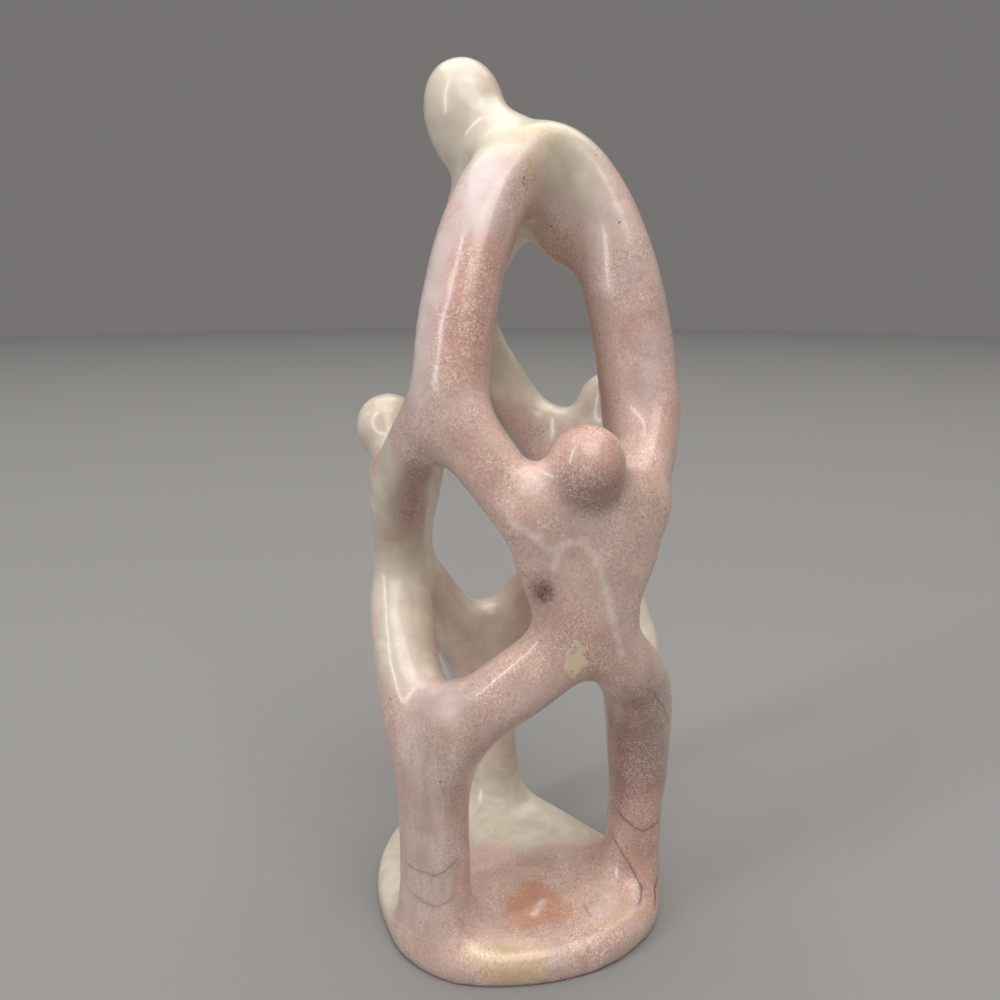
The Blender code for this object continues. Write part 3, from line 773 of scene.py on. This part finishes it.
@dataclass(frozen=True)
class Soapstone:
    """The polished soapstone: a blush ground, its tints, speckle, veins, pits and gloss."""

    blush: tuple = (0.640, 0.434, 0.384, 1.0)
    cream: tuple = (0.745, 0.665, 0.545, 1.0)
    putty: tuple = (0.600, 0.535, 0.420, 1.0)
    rose: tuple = (0.560, 0.305, 0.262, 1.0)
    # the stone's dusky mauve, which also serves as painted shade under overhangs and in recesses
    mauve_and_shade: tuple = (0.340, 0.210, 0.195, 1.0)
    # a greyer tone of the stone, which also serves as painted shade under the arch
    grey_and_shade: tuple = (0.520, 0.390, 0.345, 1.0)
    ochre: tuple = (0.640, 0.460, 0.250, 1.0)
    orange: tuple = (0.550, 0.275, 0.175, 1.0)
    pale: tuple = (0.750, 0.615, 0.545, 1.0)
    # pale lilac, which also serves as painted sheen on the arms and painted light on the chest
    lilac_and_sheen: tuple = (0.670, 0.560, 0.552, 1.0)
    bruise: tuple = (0.115, 0.045, 0.052, 1.0)
    chip: tuple = (0.730, 0.575, 0.405, 1.0)
    drift: Noise = Noise(45.0, 5.0, 0.6, (0.25, 0.75), (-0.275, 0.275))
    crumble: Noise = Noise(620.0, 3.0, 0.5, (0.3, 0.7), (-0.30, 0.40))
    crumbly: tuple = (Tint.PALE, Tint.ORANGE, Tint.OCHRE)    # tints with crumbling edges
    shown: tuple = (0.08, 0.95)      # a tint's share where it starts to show, and is full
    clouds: Noise = Noise(24.0, 4.0, 0.8, (0.35, 0.65), (0.0, 0.35))
    mottle: Noise = Noise(60.0, 5.0, 1.2, (0.42, 0.66), (0.0, 0.65))
    streaks: Noise = Noise(1.0, 4.0, 1.6, (0.36, 0.68), (0.0, 0.62))
    streak_cells: tuple = (210.0, 210.0, 34.0)               # in a metre along x, y and z
    bruise_grain: Noise = Noise(1500.0, 2.0, 0.0, (0.38, 0.62), (1.0, 0.62))
    wear: Noise = Noise(85.0, 4.0, 0.0, (0.3, 0.7), (-0.07, 0.09))
    roughness: float = 0.37
    bare_roughness: float = 0.3      # added in the pits and on the chip
    specular: float = 0.5
    gloss: float = 0.65
    gloss_roughness: float = 0.16
    speckle: Speckle = Speckle()
    hairlines: Hairlines = Hairlines()
    pitting: Pitting = Pitting()
    relief: Relief = Relief()

    def tinted(self, recipe: Recipe) -> bpy.types.NodeSocket:
        """The ground colour with every tint laid over it.

        Args:
            recipe: the material being written.

        Returns:
            The colour's output.
        """
        drift, crumble = recipe.noise(self.drift), recipe.noise(self.crumble)
        colour = recipe.blend(recipe.noise(self.clouds), self.blush, self.grey_and_shade)
        cream = recipe.blend(recipe.noise(self.mottle), self.cream, self.putty)
        layers = ((Tint.GREY_AND_SHADE, self.grey_and_shade), (Tint.MAUVE_AND_SHADE, self.mauve_and_shade), (Tint.ROSE, self.rose),
                  (Tint.CREAM, cream), (Tint.MIST, self.lilac_and_sheen), (Tint.OCHRE, self.ochre),
                  (Tint.ORANGE, self.orange), (Tint.PALE, self.pale))
        for tint, tone in layers:
            painted = recipe.painted(tint)
            edge = crumble if tint in self.crumbly else drift
            share = recipe.sum("ADD", painted, recipe.sum("MULTIPLY", edge, painted))
            colour = recipe.blend(recipe.span(share, *self.shown), colour, tone)
        streaks = recipe.noise(self.streaks, recipe.stretched(self.streak_cells))
        streaks = recipe.sum("MULTIPLY", streaks, recipe.painted(Tint.GREY_AND_SHADE))
        return recipe.blend(streaks, colour, self.lilac_and_sheen)

    def patched(self, recipe: Recipe, colour: bpy.types.NodeSocket,
                bare: bpy.types.NodeSocket) -> bpy.types.NodeSocket:
        """Lay the bruise, its halo and the chip over the stone.

        Args:
            recipe: the material being written.
            colour: the colour under them.
            bare: where the chip is.

        Returns:
            The colour's output.
        """
        colour = recipe.blend(recipe.patch(BRUISE_HALO), colour, self.mauve_and_shade)
        bruise = recipe.sum("MULTIPLY", recipe.patch(BRUISE), recipe.noise(self.bruise_grain))
        colour = recipe.blend(bruise, colour, self.bruise)
        return recipe.blend(bare, colour, self.chip)

    def make(self, chip: Chip) -> bpy.types.Material:
        """Write the material.

        Args:
            chip: the flake, which is bare and matt.

        Returns:
            The finished material.
        """
        recipe = Recipe("polished_soapstone")
        bare, pits = recipe.patch(chip.patch()), self.pitting.mask(recipe)
        colour = self.speckle.laid(recipe, self.tinted(recipe))
        colour = self.hairlines.drawn(recipe, colour)
        colour = self.patched(recipe, colour, bare)
        dark = recipe.sum("MULTIPLY", pits, self.pitting.strength)
        colour = recipe.blend(dark, colour, self.pitting.tone)
        rough = recipe.sum("ADD", self.roughness, recipe.noise(self.wear))
        matt = recipe.sum("MULTIPLY", recipe.sum("ADD", pits, bare), self.bare_roughness)
        for name, value in (("Base Color", colour),
                            ("Roughness", recipe.sum("ADD", rough, matt)),
                            ("Coat Weight", self.gloss),
                            ("Coat Roughness", self.gloss_roughness),
                            ("Specular IOR Level", self.specular),
                            ("Normal", self.relief.normal(recipe, pits))):
            recipe.feed(recipe.shader.inputs[name], value)
        return recipe.material


@dataclass
class CarvedFamily:
    """The carving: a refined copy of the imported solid, with its tints and finish."""

    node: str = "family_group"
    name: str = "carved_family"
    weld: float = 0.01 * MM          # points nearer than this are joined
    grain: float = 1.27 * MM         # size of the cells that the skin is rebuilt in
    rub: float = 0.5                 # how far one pass of smoothing goes
    polish: int = 14                 # passes of smoothing
    last_polish: int = 2             # passes after the rasping
    swell: float = 0.16 * MM         # makes up for what the smoothing takes
    ripple: float = 0.55 * MM        # the uneven surface that hand rasping leaves
    ripple_size: float = 17.0 * MM
    sole: float = 0.9 * MM           # height below which the underside is kept level
    downward: float = -0.8           # how far down a point of it faces at least
    chip: Chip = field(default_factory=Chip)
    finish: Soapstone = field(default_factory=Soapstone)

    def copied(self) -> bpy.types.Object:
        """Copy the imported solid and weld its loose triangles.

        Returns:
            The copy, selected and active.
        """
        bpy.ops.object.select_all(action="DESELECT")
        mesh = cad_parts[self.node].data.copy()
        mesh.name = self.name
        mesh.materials.clear()
        obj = bpy.data.objects.new(self.name, mesh)
        bpy.context.scene.collection.objects.link(obj)
        bpy.context.view_layer.objects.active = obj
        obj.select_set(True)
        bm = bmesh.new()
        bm.from_mesh(mesh)
        bmesh.ops.remove_doubles(bm, verts=bm.verts[:], dist=self.weld)
        bmesh.ops.recalc_face_normals(bm, faces=bm.faces[:])
        bm.to_mesh(mesh)
        bm.free()
        return obj

    def applied(self, obj: bpy.types.Object, kind: str, **settings: object) -> None:
        """Add a modifier and apply it.

        Args:
            obj: the stone.
            kind: the modifier's type.
            settings: its properties.
        """
        modifier = obj.modifiers.new(kind.lower(), kind)
        for name, value in settings.items():
            setattr(modifier, name, value)
        bpy.ops.object.modifier_apply(modifier=modifier.name)

    def refined(self, obj: bpy.types.Object) -> None:
        """Rebuild the faceted skin as a fine one and polish the facets away.

        Args:
            obj: the welded copy.
        """
        self.applied(obj, "REMESH", mode="VOXEL", voxel_size=self.grain, adaptivity=0.0)
        self.applied(obj, "SMOOTH", factor=self.rub, iterations=self.polish)
        self.applied(obj, "DISPLACE", mid_level=0.0, strength=self.swell)
        hand = bpy.data.textures.new("hand_rasping", "CLOUDS")
        hand.noise_scale = self.ripple_size
        hand.noise_depth = 1
        self.applied(obj, "DISPLACE", texture=hand, texture_coords="LOCAL", mid_level=0.5,
                     strength=self.ripple)
        self.applied(obj, "SMOOTH", factor=self.rub, iterations=self.last_polish)
        bpy.data.textures.remove(hand)

    def seated(self, mesh: bpy.types.Mesh) -> np.ndarray:
        """Sink the chip, level the sole and keep the stone inside the solid's box.

        Args:
            mesh: the refined stone.

        Returns:
            Its points, one in each row.
        """
        places = np.empty(len(mesh.vertices) * 3, dtype=np.float32)
        facing = np.empty(len(mesh.vertices) * 3, dtype=np.float32)
        mesh.vertices.foreach_get("co", places)
        mesh.vertex_normals.foreach_get("vector", facing)
        places, facing = places.reshape(-1, 3), facing.reshape(-1, 3)
        self.chip.sink(places)
        places[(places[:, 2] < self.sole) & (facing[:, 2] < self.downward), 2] = 0.0
        low, high = cad_box
        np.clip(places, np.array(low), np.array(high), out=places)
        mesh.vertices.foreach_set("co", places.ravel())
        mesh.update()
        return places

    def tint(self, mesh: bpy.types.Mesh, places: np.ndarray) -> None:
        """Write each tint's share into a mesh attribute.

        Args:
            mesh: the refined stone.
            places: its points, one in each row.
        """
        zones = (CREAM_ZONES + ROSE_ZONES + MAUVE_AND_SHADE_ZONES + GREY_AND_SHADE_ZONES + LILAC_AND_SHEEN_ZONES + OCHRE_ZONES
                 + ORANGE_ZONES + PALE_ZONES)
        for tint in Tint:
            bare = np.ones(len(places))
            for zone in zones:
                if zone.tint is tint:
                    bare *= 1.0 - zone.weights(places)
            painted = mesh.attributes.new(tint.value, "FLOAT", "POINT")
            painted.data.foreach_set("value", (1.0 - bare).astype(np.float32))

    def build(self) -> bpy.types.Object:
        """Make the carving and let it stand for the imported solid.

        Returns:
            The finished piece.
        """
        obj = self.copied()
        self.refined(obj)
        self.tint(obj.data, self.seated(obj.data))
        obj.data.materials.append(self.finish.make(self.chip))
        obj.data.shade_smooth()
        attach(obj, "root")
        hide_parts(self.node)
        return obj


@dataclass(frozen=True)
class Lamp:
    """A soft rectangular light."""

    name: str
    place: Vector
    size: tuple                      # width and height, in metres
    power: float                     # watts
    tone: tuple


LAMPS = (
    Lamp("window", spot(-2500, -620, 1600), (0.30, 2.6), 27.0, (0.92, 0.96, 1.00)),
    Lamp("front_lamp", spot(-200, -1700, 2350), (2.0, 2.0), 42.0, (1.00, 0.97, 0.93)),
    Lamp("ceiling_lamp", spot(150, 300, 2900), (4.0, 4.0), 98.0, (1.00, 0.97, 0.93)),
)


@dataclass
class Studio:
    """The plain room: a round grey floor, soft lights and the camera. Lengths are metres."""

    floor_radius: float = 3.0
    floor_sides: int = 128
    floor_tone: tuple = (0.245, 0.243, 0.240, 1.0)
    floor_fleck: tuple = (0.220, 0.220, 0.220, 1.0)
    floor_grain: Noise = Noise(180.0, 4.0, 0.0, (0.3, 0.7), (0.0, 0.06))
    floor_roughness: float = 0.85
    world_tone: tuple = (1.00, 0.96, 0.92, 1.0)
    world_strength: float = 0.18
    camera_place: Vector = field(default_factory=lambda: spot(-121.1, -309.2, 236.0))
    camera_turn: tuple = (math.radians(76.0), 0.0, math.radians(-20.0))
    lens: float = 35.3               # focal length, in millimetres
    sensor: float = 36.0             # width of the sensor, in millimetres
    nearest: float = 0.01            # distances between which the camera sees
    farthest: float = 20.0
    target: Vector = field(default_factory=lambda: spot(0, 0, 150))    # where the lamps point

    def floor(self) -> bpy.types.Object:
        """Lay the floor.

        Returns:
            The floor, which is staging.
        """
        bpy.ops.object.select_all(action="DESELECT")
        bpy.ops.mesh.primitive_circle_add(vertices=self.floor_sides, radius=self.floor_radius,
                                          fill_type="NGON")
        obj = bpy.context.active_object
        obj.name = "studio_floor"
        recipe = Recipe("studio_floor")
        tone = recipe.blend(recipe.noise(self.floor_grain), self.floor_tone, self.floor_fleck)
        recipe.feed(recipe.shader.inputs["Base Color"], tone)
        recipe.feed(recipe.shader.inputs["Roughness"], self.floor_roughness)
        obj.data.materials.append(recipe.material)
        return obj

    def hang(self, lamp: Lamp) -> bpy.types.Object:
        """Hang a lamp so that it faces the carving.

        Args:
            lamp: the lamp.

        Returns:
            The light.
        """
        light = bpy.data.lights.new(lamp.name, "AREA")
        light.shape = "RECTANGLE"
        light.size, light.size_y = lamp.size
        light.energy = lamp.power
        light.color = lamp.tone
        obj = bpy.data.objects.new(lamp.name, light)
        obj.location = lamp.place
        obj.rotation_euler = (self.target - lamp.place).to_track_quat("-Z", "Y").to_euler()
        bpy.context.scene.collection.objects.link(obj)
        return obj

    def light(self) -> None:
        """Light the room from a tall window at the left, from the front and from overhead."""
        world = bpy.data.worlds.new("studio")
        world.use_nodes = True
        sky = world.node_tree.nodes["Background"]
        sky.inputs["Color"].default_value = self.world_tone
        sky.inputs["Strength"].default_value = self.world_strength
        bpy.context.scene.world = world
        for lamp in LAMPS:
            self.hang(lamp)

    def camera(self) -> bpy.types.Object:
        """Set the camera where the carving is seen from.

        Returns:
            The camera.
        """
        lens = bpy.data.cameras.new("camera")
        lens.lens = self.lens
        lens.sensor_width = self.sensor
        lens.clip_start = self.nearest
        lens.clip_end = self.farthest
        obj = bpy.data.objects.new("camera", lens)
        obj.location = self.camera_place
        obj.rotation_euler = self.camera_turn
        bpy.context.scene.collection.objects.link(obj)
        bpy.context.scene.camera = obj
        return obj

    def build(self) -> None:
        """Make the floor, the lights and the camera, and show colours as they are."""
        self.camera()
        self.floor()
        self.light()
        bpy.context.scene.view_settings.view_transform = "Standard"


def main() -> None:
    """Build the studio and the carving, and report them."""
    logging.basicConfig(level=logging.INFO, format="%(asctime)s %(name)s: %(message)s")
    studio = Studio()
    studio.build()
    LOG.info("studio: camera at %s", tuple(round(x, 3) for x in studio.camera_place))
    family = CarvedFamily()
    stone = family.build()
    stone.data.calc_loop_triangles()
    LOG.info("%s: %d triangles", stone.name, len(stone.data.loop_triangles))


if __name__ == "__main__":
    main()
